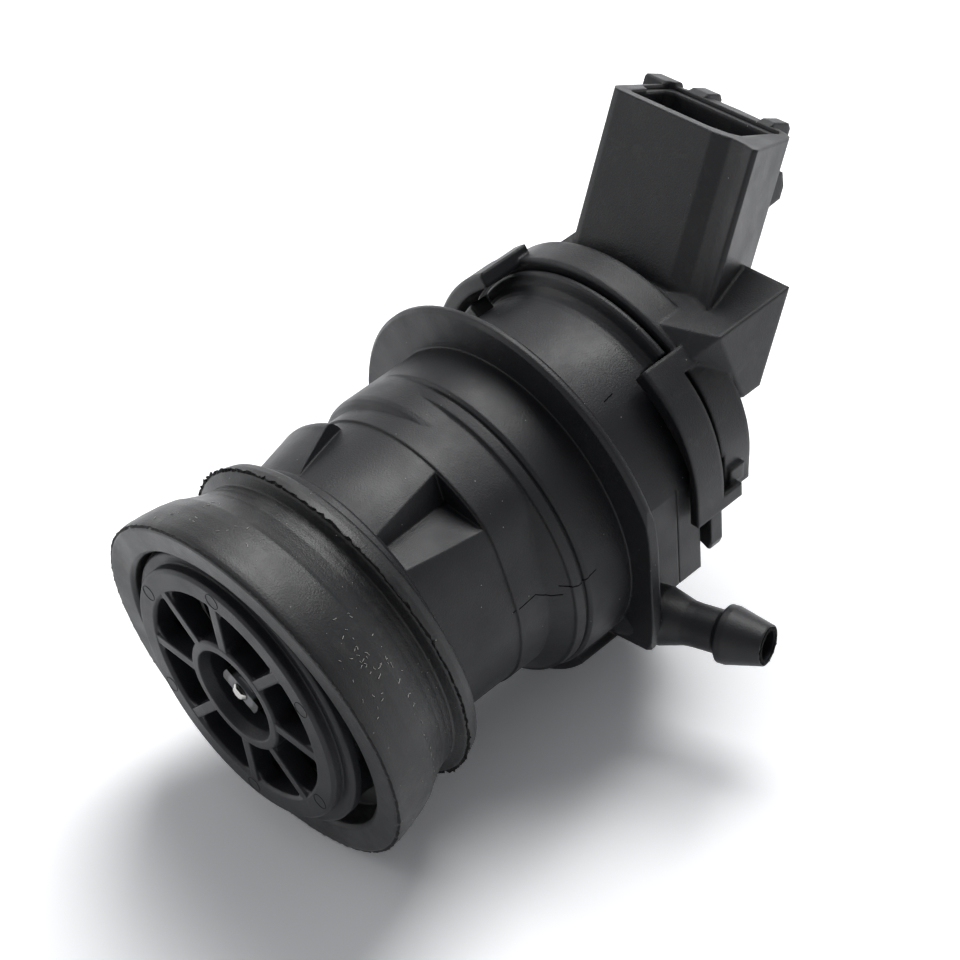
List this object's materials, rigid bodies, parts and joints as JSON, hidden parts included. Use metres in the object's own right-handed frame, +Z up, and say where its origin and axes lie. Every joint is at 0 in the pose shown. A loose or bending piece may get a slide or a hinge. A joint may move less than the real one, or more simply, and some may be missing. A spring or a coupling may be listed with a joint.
{
  "type": "windshield washer pump",
  "caption": "Electric windshield washer pump with a rubber tank grommet, barred inlet, hose nozzle and an angled plug socket on its clip-on cap",
  "frame": {"origin": "on the pump axis, at the centre of the inlet grille's front face", "axes": "+Y runs along the pump axis from the inlet to the cap, +Z up with the pump lying as pictured, +X towards the side with the hose nozzle"},
  "size_m": [0.0543, 0.0805, 0.0559],
  "materials": {
    "black_plastic": "satin black glass-filled nylon, moulded",
    "grille_plastic": "satin black nylon",
    "cap_plastic": "satin black nylon, moulded",
    "black_rubber": "matte black rubber, scuffed",
    "seal_rubber": "matte black rubber",
    "plated_steel": "zinc-plated drawn steel",
    "magnet": "sintered ferrite",
    "spring_steel": "spring steel",
    "bronze": "oiled sintered bronze",
    "plate_plastic": "natural nylon",
    "carbon": "carbon and copper block",
    "copper_strip": "spring copper strip",
    "tinned_brass": "tinned brass",
    "shaft_steel": "ground steel",
    "core_steel": "stacked steel sheets",
    "copper_wire": "enamelled copper wire",
    "copper_bars": "turned copper",
    "washer_plastic": "plain nylon",
    "impeller_plastic": "black acetal"
  },
  "bodies": {
    "pump": {"pump_housing": "black_plastic", "inlet_grille": "grille_plastic", "tank_grommet": "black_rubber", "end_cap": "cap_plastic", "cap_gasket": "seal_rubber", "motor_can": "plated_steel", "magnet_left": "magnet", "magnet_right": "magnet", "magnet_clip": "spring_steel", "front_bush": "bronze", "rear_bush": "bronze", "end_plate": "plate_plastic", "brush_left": "carbon", "brush_right": "carbon", "brush_spring_left": "copper_strip", "brush_spring_right": "copper_strip", "terminal_left": "tinned_brass", "terminal_right": "tinned_brass", "shaft_seal": "seal_rubber"},
    "rotor": {"shaft": "shaft_steel", "armature_core": "core_steel", "coil_1": "copper_wire", "coil_2": "copper_wire", "coil_3": "copper_wire", "commutator": "copper_bars", "front_washer": "washer_plastic", "rear_washer": "washer_plastic", "impeller": "impeller_plastic"}
  },
  "joints": [
    {"name": "rotor_spin", "type": "hinge", "parent": "pump", "child": "rotor", "pos_m": [0, 0.03, 0], "axis": [0, 1, 0], "continuous": true}
  ]
}
